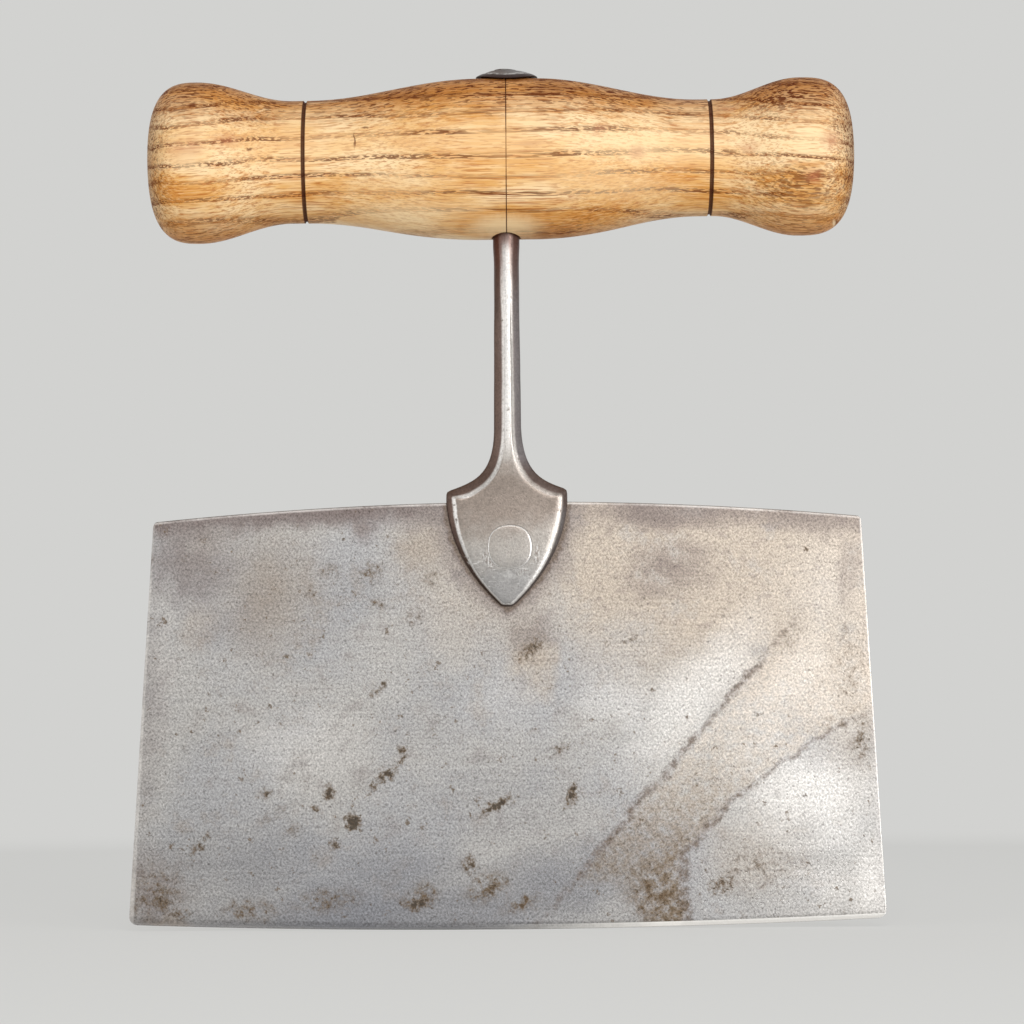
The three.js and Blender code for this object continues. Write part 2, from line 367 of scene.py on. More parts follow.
# The turned handle: belly, waists, bulbs, two burnt grooves and a scribed line
handleSetup = {
    "axis": 181.95,
    "belly": 19.35,
    "waistLand": 2.0,
    "left": {"sign": -1, "length": 84.6, "roundness": 2.9, "land": 6.0,
             "bulbAt": 73.0, "bulb": 19.1, "waistAt": 48.5, "waist": 14.55},
    "right": {"sign": 1, "length": 82.8, "roundness": 3.0, "land": 7.5,
              "bulbAt": 69.9, "bulb": 18.75, "waistAt": 47.5, "waist": 13.9},
    "lift": (0.003, 0.0065),  # rise per mm of the left and of the right arm
    "liftFrom": 4.0,
    "grooves": (-47.2, 48.6),
    "grooveSection": ((-0.46, 0.0), (-0.36, 0.1), (-0.18, 0.42), (0.18, 0.42), (0.36, 0.1), (0.46, 0.0)),
    "scribe": 0.35,
    "scribeSection": ((-0.14, 0.0), (0.0, 0.18), (0.14, 0.0)),
    "turns": 128,
    "wobble": 0.35,
    "flat": 0.55,  # how much the belly is worn flat underneath
    "flatEnds": (30, 8),
    "mouth": ((3.5, 163.3), (3.3, 164.0)),  # radius and height, at the lip and inside
    "mouthDepth": 1.6,  # the mouth is this much longer from front to back
    "mouthTurns": 48,
    "overcut": 30,  # how far the cutters run out past the axis
    "bore": (5.5, 4.5),
    "shankTop": 164.1,
}


def handleRadius(x):
    setup = handleSetup
    side = setup["left"] if x < 0 else setup["right"]
    along = abs(x)
    waistStart = side["waistAt"] - setup["waistLand"]
    waistEnd = side["waistAt"] + setup["waistLand"]

    def blend(low, high, start, end):
        return low + (high - low) * (1 - math.cos(math.pi * (along - start) / (end - start))) / 2

    if along <= side["land"]:
        return setup["belly"]
    if along < waistStart:
        return blend(setup["belly"], side["waist"], side["land"], waistStart)
    if along <= waistEnd:
        return side["waist"]
    if along < side["bulbAt"]:
        return blend(side["waist"], side["bulb"], waistEnd, side["bulbAt"])
    share = min(1.0, (along - side["bulbAt"]) / (side["length"] - side["bulbAt"]))
    return side["bulb"] * (1 - share ** side["roundness"]) ** (1 / side["roundness"])


def handleProfile():
    setup = handleSetup
    stations = []
    for side in (setup["left"], setup["right"]):
        body = spread(0.6, side["bulbAt"], 56)
        cap = [math.sin(turn) ** (2 / side["roundness"]) for turn in spread(0, math.pi / 2, 26)]
        body += [side["bulbAt"] + share * (side["length"] - side["bulbAt"]) for share in cap[1:]]
        stations += [side["sign"] * along for along in body]
    lines = [(groove, setup["grooveSection"]) for groove in setup["grooves"]]
    lines.append((setup["scribe"], setup["scribeSection"]))
    points = []
    for x in stations:
        if all(abs(x - line) > abs(section[0][0]) + 0.1 for line, section in lines):
            points.append((x, handleRadius(x)))
    for line, section in lines:
        points += [(line + shift, handleRadius(line + shift) - depth) for shift, depth in section]
    return sorted(points)


def makeHandle(setup):
    rim = [(x, 0, setup["axis"] + radius) for x, radius in handleProfile()]
    piece = drawChain("turnedHandle", rim)
    spinRound(setup["turns"], (0, 0, setup["axis"]), (1, 0, 0))
    sortOut(0.01)
    falling, rising = setup["lift"]

    def settle(x, y, z):
        below = smoothStep(setup["axis"] - z, 0, setup["belly"])
        worn = setup["flat"] * smoothStep(abs(x), *setup["flatEnds"]) * below
        start = setup["liftFrom"]
        return x, y, z + worn + falling * min(0.0, x + start) + rising * max(0.0, x - start)

    moveVerts(piece, settle)
    closeEdit()
    roughen(piece, "latheWobble", 40, setup["wobble"])

    # the mouth for the shank, opened a little at its lip
    lip, inside = setup["mouth"]
    low, top = setup["axis"] - setup["overcut"], setup["shankTop"] + 0.1
    walls = [(0, low), (lip[0], low), lip, inside, (inside[0], top), (0, top)]
    cutter = drawChain("shankMouth", [(radius, 0, height) for radius, height in walls])
    spinRound(setup["mouthTurns"], (0, 0, 0), (0, 0, 1))
    pickAll()
    bpy.ops.transform.resize(value=(1, setup["mouthDepth"], 1), center_override=(0, 0, 0))
    bpy.ops.transform.translate(value=(tangSetup["centre"] * mm, 0, 0))
    sortOut(0.01)
    closeEdit()
    cutWith(piece, cutter, "mouthCut")
    cutter = drawChain("tangBore", octagon(setup["bore"][0], setup["shankTop"] - 1))
    pickAll()
    bpy.ops.mesh.edge_face_add()
    pull(0, 0, setup["axis"] + setup["overcut"] - setup["shankTop"])
    narrow = setup["bore"][1] / setup["bore"][0]
    bpy.ops.transform.resize(value=(narrow, narrow, 1), center_override=(0, 0, 0))
    sortOut()
    closeEdit()
    cutWith(piece, cutter, "boreCut")
    return piece


def octagon(width, height):
    radius = width / 2 / math.cos(math.pi / 8)
    corners = [math.pi / 8 + turn * math.pi / 4 for turn in range(8)]
    return [(radius * math.cos(turn), radius * math.sin(turn), height) for turn in corners]


# The forged tang: split shield tongue, octagonal shank, tapered end, peened head
tangSetup = {
    "tongue": 14.3,
    "sideTop": 100.0,
    "tip": 1.3,
    "tipHeight": 75.6,
    "sidePulls": ((9.58, 82.92), (13.44, 90.97)),
    "shankTop": 164.1,
    # the two flanks weren't forged quite alike; shank is the half width at the flare and above
    "left": {
        "shoulder": 102.8,
        "flareTop": 117.0,
        "flarePulls": ((8.0, 104.9), (3.2, 106.4)),
        "shank": (2.95, 2.73),
        "chamfers": {"shank": 2.5, "shoulder": 2.8, "side": 1.9, "tip": 0.5},
        "arris": {"shank": 0.5, "shoulder": 0.9, "tongue": 1.1},
    },
    "right": {
        "shoulder": 103.2,
        "flareTop": 118.0,
        "flarePulls": ((8.5, 105.2), (3.9, 106.8)),
        "shank": (3.5, 3.23),
        "chamfers": {"shank": 2.1, "shoulder": 2.6, "side": 1.35, "tip": 0.45},
        "arris": {"shank": 0.4, "shoulder": 1.5, "tongue": 2.4},
    },
    "shankTaper": 30.0,
    "shoulder": 103.0,
    "evening": 8,
    "crown": {"drop": 0.3, "at": 90.0, "reach": (12.0, 14.0), "gone": (98.0, 108.0)},
    "slices": {"up": (76.5, 112.5, 24), "across": (-13, 13, 20)},
    # each ring of the section: share of the chamfer, then of the arris, and depth from the middle plane
    "section": (
        (0.0, 1.15), (0.04, 1.42), (0.14, 1.62), (0.78, 2.6), (0.96, 2.78), (1.18, 2.92),
        (1.42, 3.02), (1.66, 3.08), (1.9, 3.1),
    ),
    # softened places: across, up from the shoulder, how deep, passes, and if through the thickness too
    "softened": (
        ((13.4, 20), (-1.2, 0.5), 0, 2, False), ((8.5, 13.5), (-5, 1.5), 2.55, 4, True),
        ((-1, 20), (-40, -26.2), 0, 2, False),
    ),
    "roundFrom": 138.0,
    "roundTo": 156.0,
    "neck": 2.98,
    "collar": 3.15,
    "collarRise": (157, 162),
    "centre": 0.25,
    "rootWidth": 5.0,
    "endWidth": 4.1,
    "endTop": 203.55,
    "headWidth": 5.6,
    "headSteps": ((0.08, 0.96), (0.14, 0.82), (0.12, 0.68), (0.1, 0.5), (0.05, 0.5)),
    "headLean": -0.5,
    "headTop": 203.9,
    "headBend": 39.0,  # twice the radius that the washer and the head are bent to
    "slotHalf": 1.03,
    "slotTop": 100.1,
    "rivetHole": 5.23,
    "hammering": 0.1,
}


def smoothStep(value, low, high):
    share = min(1.0, max(0.0, (value - low) / (high - low)))
    return share * share * (3 - 2 * share)


def tangOutline(setup):
    halves = {}
    for name in ("left", "right"):
        side = setup[name]
        wide, narrow = side["shank"]
        widest = (setup["tongue"], setup["sideTop"])
        corner = (setup["tongue"], side["shoulder"])
        points = curve((setup["tip"], setup["tipHeight"]), *setup["sidePulls"], widest, 16)
        points += [(setup["tongue"], z) for z in spread(setup["sideTop"], side["shoulder"], 3)[1:-1]]
        points += curve(corner, *side["flarePulls"], (wide, side["flareTop"]), 16)
        for z in spread(side["flareTop"], setup["shankTop"], 34)[1:]:
            share = min(1.0, (z - side["flareTop"]) / setup["shankTaper"])
            points.append((wide + (narrow - wide) * share, z))
        halves[name] = points
    return halves["right"] + [(-x, z) for x, z in reversed(halves["left"])]


# How far a ring is drawn in at a point: the chamfer, then the soft arris
def drawDepth(setup, x, z, share):
    side = setup["left" if x < 0 else "right"]
    widths, soft = side["chamfers"], side["arris"]
    if z > side["shoulder"] - 0.01:
        up = smoothStep(z, side["shoulder"] + 1, side["flareTop"])
        chamfer = widths["shoulder"] + (widths["shank"] - widths["shoulder"]) * up
        arris = soft["shoulder"] + (soft["shank"] - soft["shoulder"]) * up
    else:
        rise = smoothStep(z, setup["tipHeight"], setup["sideTop"])
        chamfer = widths["tip"] + (widths["side"] - widths["tip"]) * rise
        arris = soft["tongue"] * (0.5 + 0.5 * rise)
    return chamfer * min(share, 1.0) + arris * max(0.0, share - 1)


# Which way each outline point is drawn in, evened out round the shoulder corners
def drawWays(setup, outline):
    ways = []
    for count, (x, z) in enumerate(outline):
        before = Vector(outline[count - 1])
        after = Vector(outline[(count + 1) % len(outline)])
        here = Vector((x, z))
        one = (here - before).normalized()
        two = (after - here).normalized()
        one, two = Vector((-one.y, one.x)), Vector((-two.y, two.x))
        way = (one + two) / (1 + one.dot(two))
        if z > setup["shankTop"] - 0.01:
            way = Vector((-math.copysign(1, x), 0))
        ways.append(way)
    for turn in range(setup["evening"]):
        last = list(ways)
        for count, (x, z) in enumerate(outline):
            if setup["shoulder"] - 9 < z < setup["shoulder"] + 5:
                ways[count] = (last[count - 1] + 2 * last[count] + last[count + 1]) / 4
    return ways


def drawnIn(setup, outline, ways, share):
    ring = []
    for (x, z), way in zip(outline, ways):
        inner = Vector((x, z)) + way * drawDepth(setup, x, z, share)
        ring.append((inner.x, inner.y))
    return ring


def makeTang(setup):
    outline = tangOutline(setup)
    piece = drawChain("forgedTang", [(x, 0, z) for x, z in outline])
    pick(piece, "verts", lambda vert: vert.index in (0, len(outline) - 1))
    bpy.ops.mesh.edge_face_add()
    pickAll()
    ring = [(x, 0.0, z) for x, z in outline]
    ways = drawWays(setup, outline)
    for share, depth in setup["section"]:
        pull(0, 0, 0)
        mesh = bmesh.from_edit_mesh(piece.data)
        fresh = [vert for vert in mesh.verts if vert.select]
        inner = [(x, -depth, z) for x, z in drawnIn(setup, outline, ways, share)]
        for vert in fresh:
            gaps = [(Vector(point) * mm - vert.co).length_squared for point in ring]
            vert.co = Vector(inner[gaps.index(min(gaps))]) * mm
        bmesh.update_edit_mesh(piece.data)
        ring = inner
    bpy.ops.mesh.edge_face_add()
    sortOut()
    closeEdit()
    mirror = piece.modifiers.new("otherCheek", "MIRROR")
    mirror.use_axis = (False, True, False)
    mirror.merge_threshold = 1e-6
    bpy.ops.object.modifier_apply(modifier="otherCheek")
    openEdit()
    sortOut()
    sliceUp(2, spread(*setup["slices"]["up"]))
    sliceUp(0, spread(*setup["slices"]["across"]))
    for across, up, deep, passes, through in setup["softened"]:
        low, high = [setup["shoulder"] + level for level in up]

        def near(vert):
            x, y, z = abs(vert.co.x) / mm, abs(vert.co.y) / mm, vert.co.z / mm
            return across[0] < x < across[1] and y >= deep and low < z < high

        pick(piece, "verts", near)
        bpy.ops.mesh.vertices_smooth(factor=0.5, repeat=passes, yaxis=through)

    # the shank is drawn round towards the handle and spreads into a small collar
    def onTop(face):
        return face.normal.z > 0.95 and face.calc_center_median().z > (setup["shankTop"] - 0.2) * mm

    def drawRound(x, y, z):
        if z < setup["roundFrom"] or z > setup["shankTop"] + 0.1:
            return x, y, z
        middle = setup["centre"]
        radius = math.hypot(x - middle, y)
        if radius < 0.01:
            return x, y, z
        collar = setup["neck"] + (setup["collar"] - setup["neck"]) * smoothStep(z, *setup["collarRise"])
        share = smoothStep(z, setup["roundFrom"], setup["roundTo"])
        grown = 1 + (collar / radius - 1) * share
        return middle + (x - middle) * grown, y * grown, z

    pick(piece, "faces", onTop)
    bpy.ops.mesh.dissolve_faces()
    moveVerts(piece, drawRound)

    # the cheeks are a little crowned
    def crown(x, y, z):
        form = setup["crown"]
        across, along = form["reach"]
        fall = min(1.0, (x / across) ** 2 + ((z - form["at"]) / along) ** 2)
        drop = form["drop"] * fall * (1 - smoothStep(z, *form["gone"])) * smoothStep(abs(y), 1.7, 2.7)
        return x, math.copysign(abs(y) - drop, y), z

    moveVerts(piece, crown)

    # the tapered end and the peened head rise from the shoulder
    pick(piece, "faces", onTop)
    steps = [(0.0, setup["rootWidth"] / 2 / setup["collar"])]
    steps += [(setup["endTop"] - setup["shankTop"], setup["endWidth"] / setup["rootWidth"])]
    steps += [(-0.1, setup["headWidth"] / setup["endWidth"])] + list(setup["headSteps"])
    for rise, scale in steps:
        pull(0, 0, rise)
        bpy.ops.transform.resize(value=(scale, scale, 1), center_override=(0, 0, 0))
    sortOut(0.002)

    # the head follows the washer's bend and was struck over to the left
    def strike(x, y, z):
        if z < setup["endTop"] - 0.15:
            return x, y, z
        lean = setup["headLean"] * smoothStep(z, setup["endTop"] - 0.1, setup["headTop"])
        return x + lean, y, z - y * y / setup["headBend"] * min(1.0, math.hypot(x, y) / 3.5)

    moveVerts(piece, strike)
    closeEdit()
    roughen(piece, "forgeMarks", 7, setup["hammering"])

    clearAll()
    slotLow = setup["tipHeight"] - 5
    bpy.ops.mesh.primitive_cube_add(size=2)
    cutter = bpy.context.object
    openEdit()
    size = (30 * mm, setup["slotHalf"] * mm, (setup["slotTop"] - slotLow) / 2 * mm)
    bpy.ops.transform.resize(value=size)
    bpy.ops.transform.translate(value=(0, 0, (setup["slotTop"] + slotLow) / 2 * mm))
    closeEdit()
    cutWith(piece, cutter, "slotCut")
    cutWith(piece, rivetBar(setup["rivetHole"], rivetSetup["square"]), "rivetCut")
    return piece


# Stretches a round about the rivet's axis towards a square; a power of 2 leaves it round
def squarer(power):
    across, height = rivetSetup["at"]

    def place(x, y, z):
        turn = math.atan2(z - height, x - across)
        out = (abs(math.cos(turn)) ** power + abs(math.sin(turn)) ** power) ** (-1 / power)
        return across + (x - across) * out, y, height + (z - height) * out
    return place


def rivetBar(radius, power=2.0):
    across, height = rivetSetup["at"]
    clearAll()
    turns, depth = rivetSetup["turns"], rivetSetup["cutLength"]
    bpy.ops.mesh.primitive_cylinder_add(vertices=turns, radius=radius * mm, depth=depth * mm)
    cutter = bpy.context.object
    openEdit()
    bpy.ops.transform.rotate(value=math.pi / 2, orient_axis="X", center_override=(0, 0, 0))
    bpy.ops.transform.translate(value=(across * mm, 0, height * mm))
    moveVerts(cutter, squarer(power))
    closeEdit()
    return cutter


# The blade: drawn along its cutting edge and raised row by row to the spine
bladeSetup = {
    "edgeHalf": 88.8,
    "spineHalf": 83.5,
    "height": 100.35,
    "belly": 1.87,
    "arch": 4.1,
    "edgeHalfThick": 0.55,
    "spineHalfThick": 1.0,
    "bevel": 1.2,
    "land": 0.15,
    "corners": {"leftEdge": 2.0, "rightEdge": 2.2, "leftSpine": 1.0, "rightSpine": 1.1},
    "rise": 0.003,  # the plate was cut a little askew
    "slide": 0.0045,
    "soft": 0.22,
    "warp": 0.5,
    "rivetHole": 3.05,
}


def makeBlade(setup):
    half, tall, bevel = setup["edgeHalf"], setup["height"], setup["bevel"]
    ends = [0, 0.3, 0.7, 1.2, 1.9, 2.8, 4.2]
    columns = [-half + end for end in ends] + spread(-half + 6, half - 6, 56)
    columns += [half - end for end in reversed(ends)]
    piece = drawChain("bladePlate", [(x, 0, 0) for x in columns])
    rows = [0.0, 0.35, 0.7, bevel, 2.0, 3.0, 5.0] + spread(8, 94, 24)
    rows += [96.5, 97.6, 98.4, 99.0, 99.5, tall]
    for below, above in zip(rows, rows[1:]):
        pick(piece, "edges", lambda edge: all(abs(vert.co.z - below * mm) < 1e-7 for vert in edge.verts))
        pull(0, 0, above - below)

    # trapezoid, belly, arch and the four worn corners
    def shape(x, y, z):
        share = z / tall
        u = x / half
        corner = ("left" if u < 0 else "right") + ("Edge" if share < 0.5 else "Spine")
        radius = setup["corners"][corner]
        side = (1 - abs(u)) * half
        level = z if share < 0.5 else tall - z
        if side < radius and level < radius:
            a, b = 1 - side / radius, 1 - level / radius
            side = radius * (1 - a * math.sqrt(1 - b * b / 2))
            level = radius * (1 - b * math.sqrt(1 - a * a / 2))
            u = math.copysign(1 - side / half, u)
            z = level if share < 0.5 else tall - level
            share = z / tall
        wide = half + (setup["spineHalf"] - half) * share
        bottom = setup["belly"] * u * u
        top = tall - setup["arch"] * u * u
        lift = min(z, bevel)
        rest = (z - lift) / (tall - bevel)
        height = bottom + lift + rest * (top - bottom - bevel)
        shift = setup["slide"] * (height - rivetSetup["at"][1])
        return u * wide + shift, y, height + setup["rise"] * u * wide

    moveVerts(piece, shape)
    pickAll()
    pull(0, 2, 0)
    pickAll()
    bpy.ops.transform.translate(value=(0, -mm, 0))
    sortOut(0.0005)

    def wedge(x, y, z):
        above = z - setup["belly"] * (x / half) ** 2
        thick = setup["edgeHalfThick"]
        thick += (setup["spineHalfThick"] - thick) * z / tall
        if above < bevel:
            thick = setup["land"] + (thick - setup["land"]) * max(0.0, above) / bevel
        return x, math.copysign(thick, y), z

    moveVerts(piece, wedge)

    def rim(edge):
        if len(edge.link_faces) != 2:
            return False
        low = min(vert.co.z / mm - setup["belly"] * (vert.co.x / mm / half) ** 2 for vert in edge.verts)
        along = abs(edge.verts[0].co.y + edge.verts[1].co.y) > 0.5 * mm
        return along and low > bevel and edge.calc_face_angle() > math.radians(45)

    pick(piece, "edges", rim)
    bpy.ops.mesh.bevel(offset=setup["soft"] * mm, segments=2, affect="EDGES", clamp_overlap=True)
    sortOut(0.0005)
    closeEdit()
    roughen(piece, "plateWarp", 60, setup["warp"], "Y", 1)
    cutWith(piece, rivetBar(setup["rivetHole"]), "rivetCut")
    return piece


# The tongue rivet, countersunk both ends and filed flush
rivetSetup = {
    "at": (0.65, 89.55),
    "face": 3.19,
    "head": 5.2,
    "square": 2.35,
    # inwards from the head's rim, and down from its face
    "rim": ((0.55, 0.0), (0.3, 0.03), (0.12, 0.09), (0.0, 0.2), (0.0, 0.55)),
    "neck": 3.0,
    "neckAt": 1.8,
    "turns": 96,
    "cutLength": 20,
}


def makeRivet(setup):
    head, face = setup["head"], setup["face"]
    front = [(0, -face), (head * 0.5, -face + 0.01)]
    front += [(head - inwards, -face + down) for inwards, down in setup["rim"]]
    front.append((setup["neck"], -setup["neckAt"]))
    profile = front + [(radius, -y) for radius, y in reversed(front)]
    across, height = setup["at"]
    piece = drawChain("tongueRivet", [(across + radius, y, height) for radius, y in profile])
    spinRound(setup["turns"], (across, 0, height), (0, 1, 0))
    sortOut(0.005)
    moveVerts(piece, squarer(setup["square"]))
    closeEdit()
    roughen(piece, "fileMarks", 4, 0.04)
    return piece


# The washer, domed and bent over the handle
washerSetup = {
    "hole": 2.5,
    # radius and height over the wood: under the dome, round its thin rim, back over it
    "under": ((2.5, 0.0), (3.8, 0.0), (5.0, 0.0), (6.2, 0.06), (6.9, 0.2), (7.3, 0.34), (7.36, 0.42)),
    "over": ((7.2, 0.56), (6.9, 0.73), (6.4, 0.97), (5.6, 1.27), (4.8, 1.53), (3.8, 1.8), (2.5, 2.04)),
    "aside": 0.6,  # the hole isn't quite in the middle
    "seat": 0.12,
    "turns": 72,
    "hammering": 0.1,
}


def makeWasher(setup):
    profile = setup["under"] + setup["over"]
    piece = drawChain("bentWasher", [(radius, 0, height) for radius, height in profile])
    pick(piece, "verts", lambda vert: abs(vert.co.x - setup["hole"] * mm) < 1e-6)
    bpy.ops.mesh.edge_face_add()
    spinRound(setup["turns"], (0, 0, 0), (0, 0, 1))
    sortOut(0.002)

    def bend(x, y, z):
        x += setup["aside"] * smoothStep(math.hypot(x, y), setup["hole"] + 0.2, 5.0)
        radius = handleRadius(x) + setup["seat"]
        return x, y, z + handleSetup["axis"] + math.sqrt(radius ** 2 - y ** 2)

    moveVerts(piece, bend)
    closeEdit()
    roughen(piece, "peenMarks", 3, setup["hammering"])
    return piece


# Waxed ash with open pores, grimy ends and a lifetime of knocks
ashSetup = {
    "sheen": 0.1,
    "ringGap": 4.6,
    "arch": 0.00045,
    "honey": tone(230, 176, 104),
    "pale": tone(248, 217, 170),
    "amber": tone(208, 134, 54),
    "line": tone(172, 92, 34),
    "pore": tone(92, 34, 4),
    "smokeAndShade": tone(132, 68, 10),
    "grimeAndShade": tone(90, 50, 22),
    "burn": tone(72, 34, 22),
    "smudge": tone(176, 98, 70),
    # x, height above the axis, width, height, turn, strength
    "smudges": (
        (-74, 0, 12, 9, 10, 0.4), (-65, 2, 10, 6, 0, 0.4), (22, 4, 8, 4, 20, 0.4),
        (31, -1, 6, 5, 0, 0.6), (57, 0, 8, 5, 0, 0.4), (53, 11, 8, 5, 0, 0.5),
        (76, 1, 8, 7, 0, 0.5), (72, -7, 6, 5, 0, 0.5),
    ),
    "darkMarks": (
        (-35, 2.2, 0.7, 5.2, 4, 0.9), (-72.7, 10.9, 2.4, 1.8, 0, 0.9),
        (-59.5, 0.2, 2.0, 1.0, 0, 0.9), (-32.5, 5.4, 2.4, 0.9, 0, 0.8),
        (70.3, -13, 7, 2.2, -12, 0.3), (64, -8, 5, 0.8, 40, 0.5), (66, -9, 5, 0.7, 38, 0.5),
        (-20, 13, 14, 2, 0, 0.5), (12, 15, 20, 3, 0, 0.4),
    ),
    "dullMarks": (
        (66, 13, 46, 16, -2, 1.0), (70, -9, 44, 19, 0, 0.68), (-32, 14, 70, 9, 0, 0.45),
        (28, 14, 50, 9, 0, 0.35), (-76, 11, 26, 14, 0, 0.6), (-58, 8, 22, 7, 4, 0.4),
    ),
    # pale marks, mostly painted sheen on the bulbs, along the middle and underneath
    "paleMarksAndSheen": (
        (-56.7, 10.2, 5, 0.8, 20, 0.6), (77.8, -16, 1.6, 1.4, 0, 0.8), (0, -17, 24, 6, 0, 0.8),
        (-24, -14.5, 52, 10, 2, 0.45), (-24, -8, 44, 9, 0, 0.3), (24, -8, 50, 13, -3, 0.4),
        (32, 0, 46, 13, -3, 0.4), (-74, -3, 10, 7, 0, 0.45), (72, 2, 12, 7, 0, 0.45),
    ),
}


def ashFinish(setup):
    ash = Finish("waxedAsh", setup)
    fade, lay, noise = ash.fade, ash.lay, ash.noise
    x, y, z = ash.axes(ash.place)
    level = z - handleSetup["axis"]
    front = fade(y, 2, -2)

    def seen(place, name, core):
        return ash.patches(place, name, core) * front

    # rings lie nearly level and bow up in the middle, pores crowd at each ring's start
    drift = noise(ash.stretch(ash.place, 0.012, 0.06, 0.06), 1, 3, 0.5)
    ring = (level + x * x * setup["arch"] + y * y * 0.006 + (drift - 0.5) * 7) / setup["ringGap"]
    saw = ash.add("ShaderNodeMath", {"operation": "FRACT"}, {0: ring})
    early = fade(saw, 0, 0.03) * fade(saw, 0.34, 0.16)
    bow = level + x * x * setup["arch"]
    bowed = ash.vector(x, y, bow)
    # long pores in the middle of the handle, short ones towards its ends
    short = x * (abs(x) * 0.0045 + 0.16)
    dash = noise(ash.vector(short, y * 3, bow * 3), 1, 1, 0.6)
    patchy = noise(ash.stretch(bowed, 0.035, 0.22, 0.22), 1, 2, 0.6)
    pores = fade(dash, 0.45, 0.51) * early * (0.4 + fade(patchy, 0.4, 0.58) * 0.6)
    stray = fade(noise(ash.stretch(bowed, 0.3, 3.2, 3.2), 1, 1), 0.6, 0.66) * 0.4
    coarse = noise(ash.stretch(bowed, 0.42, 1.8, 1.8), 1, 1, 0.6)
    fibre = noise(ash.stretch(bowed, 0.03, 1.2, 1.2), 1, 3, 0.65)
    hair = noise(ash.stretch(bowed, 0.08, 2.8, 2.8), 1, 2, 0.65)
    cloud = noise(ash.stretch(bowed, 0.02, 0.07, 0.07), 1, 4, 0.6)

    # dulled by hands on the ends; darker along the top and underneath, which is painted shade
    local = ash.ragged(ash.vector(x, 0, level), 0.5, 0.8)
    dirt = noise(ash.ragged(ash.place, 0.1, 4), 0.12, 4, 0.6)
    sway = dirt - 0.5
    leftEnd = fade(x + sway * 9, -76, -84) * 0.8
    rightEnd = fade(x + sway * 9, 73, 82)
    upper = fade(level + sway * 12, 4, 16)
    under = fade(level + sway * 8, -13, -20) * fade(abs(x + 20), 20, 36)
    under = under.most(fade(level, -12, -17.5) * fade(x, 0, 40) * 0.7)
    dullAndShaded = upper.most(under * 0.8).most(leftEnd).most(rightEnd)
    heavy = seen(local, "dullMarks", 0.1)
    dullAndShaded = dullAndShaded.most(heavy)
    pores = pores.most(fade(coarse + heavy * 0.05, 0.55, 0.59) * dullAndShaded)

    ash.color = setup["honey"]
    lay("pale", fade(cloud, 0.4, 0.6))
    lay("amber", fade(cloud, 0.5, 0.3) * 0.6)
    lay("amber", early * 0.3)
    lay("amber", fade(fibre, 0.5, 0.68) * 0.55)
    lay("pale", fade(fibre, 0.48, 0.34) * 0.35)
    lay("line", fade(hair, 0.52, 0.64) * 0.6)
    lay("pale", fade(hair, 0.47, 0.34) * 0.35)
    # painted sheen: a pale band along the middle of the handle
    lay("pale", fade(abs(level - 1 + sway * 8), 8, 0) * 0.4)
    # painted shade: amber laid along the top and underneath
    lay("amber", upper.most(under) * 0.6)
    ingrained = fade(fibre + dirt, 0.75, 1.15) * 0.35 + fade(hair, 0.48, 0.6) * 0.3
    # smoke worked into the dulled ends and marks, and painted shade along the top and underneath
    lay("smokeAndShade", dullAndShaded * (ingrained * 0.6 + 0.03))
    lay("smokeAndShade", heavy * fade(level, -2, 6) * 0.26)
    lay("line", stray)
    lay("pore", pores * (0.76 + dullAndShaded * 0.18))
    # painted shade along the top, with real grime on both ends
    grimeAndShade = fade(level + sway * 6, 14, 20) * 0.25
    grimeAndShade = grimeAndShade.most(fade(x + sway * 6, -80, -84) * 0.3)
    grimeAndShade = grimeAndShade.most(fade(x + sway * 6, 77, 82) * 0.65)
    lay("grimeAndShade", grimeAndShade * 0.7)

    smudge = seen(local, "smudges", 0.1)
    lay("smudge", smudge * fade(dirt, 0.3, 0.55))
    # pale marks, mostly painted sheen on the bulbs, along the middle and underneath
    lay("pale", seen(local, "paleMarksAndSheen", 0.2))
    knock = seen(local, "darkMarks", 0.3)
    lay("pore", knock * 0.85)

    burnt = None
    for groove in handleSetup["grooves"]:
        line = fade(abs(x - groove), 0.62, 0.36)
        burnt = line if burnt is None else burnt.most(line)
    scribe = fade(abs(x - handleSetup["scribe"]), 0.2, 0.09)
    scribe = scribe * (0.4 + fade(abs(level + 1), 3, 9) * 0.4)
    lay("burn", burnt.most(scribe) * 0.93)

    rough = 0.36 + pores * 0.3 + grimeAndShade * 0.15 + burnt * 0.3
    ash.set({"Base Color": ash.color, "Roughness": rough, "Specular IOR Level": setup["sheen"]})
    height = 1 - pores * 0.8 + (fibre - 0.5) * 0.3 + (hair - 0.5) * 0.2 - burnt * 0.2 - knock * 0.5
    ash.set({"Normal": ash.bump(height, 0.5, 0.15)})
    return ash


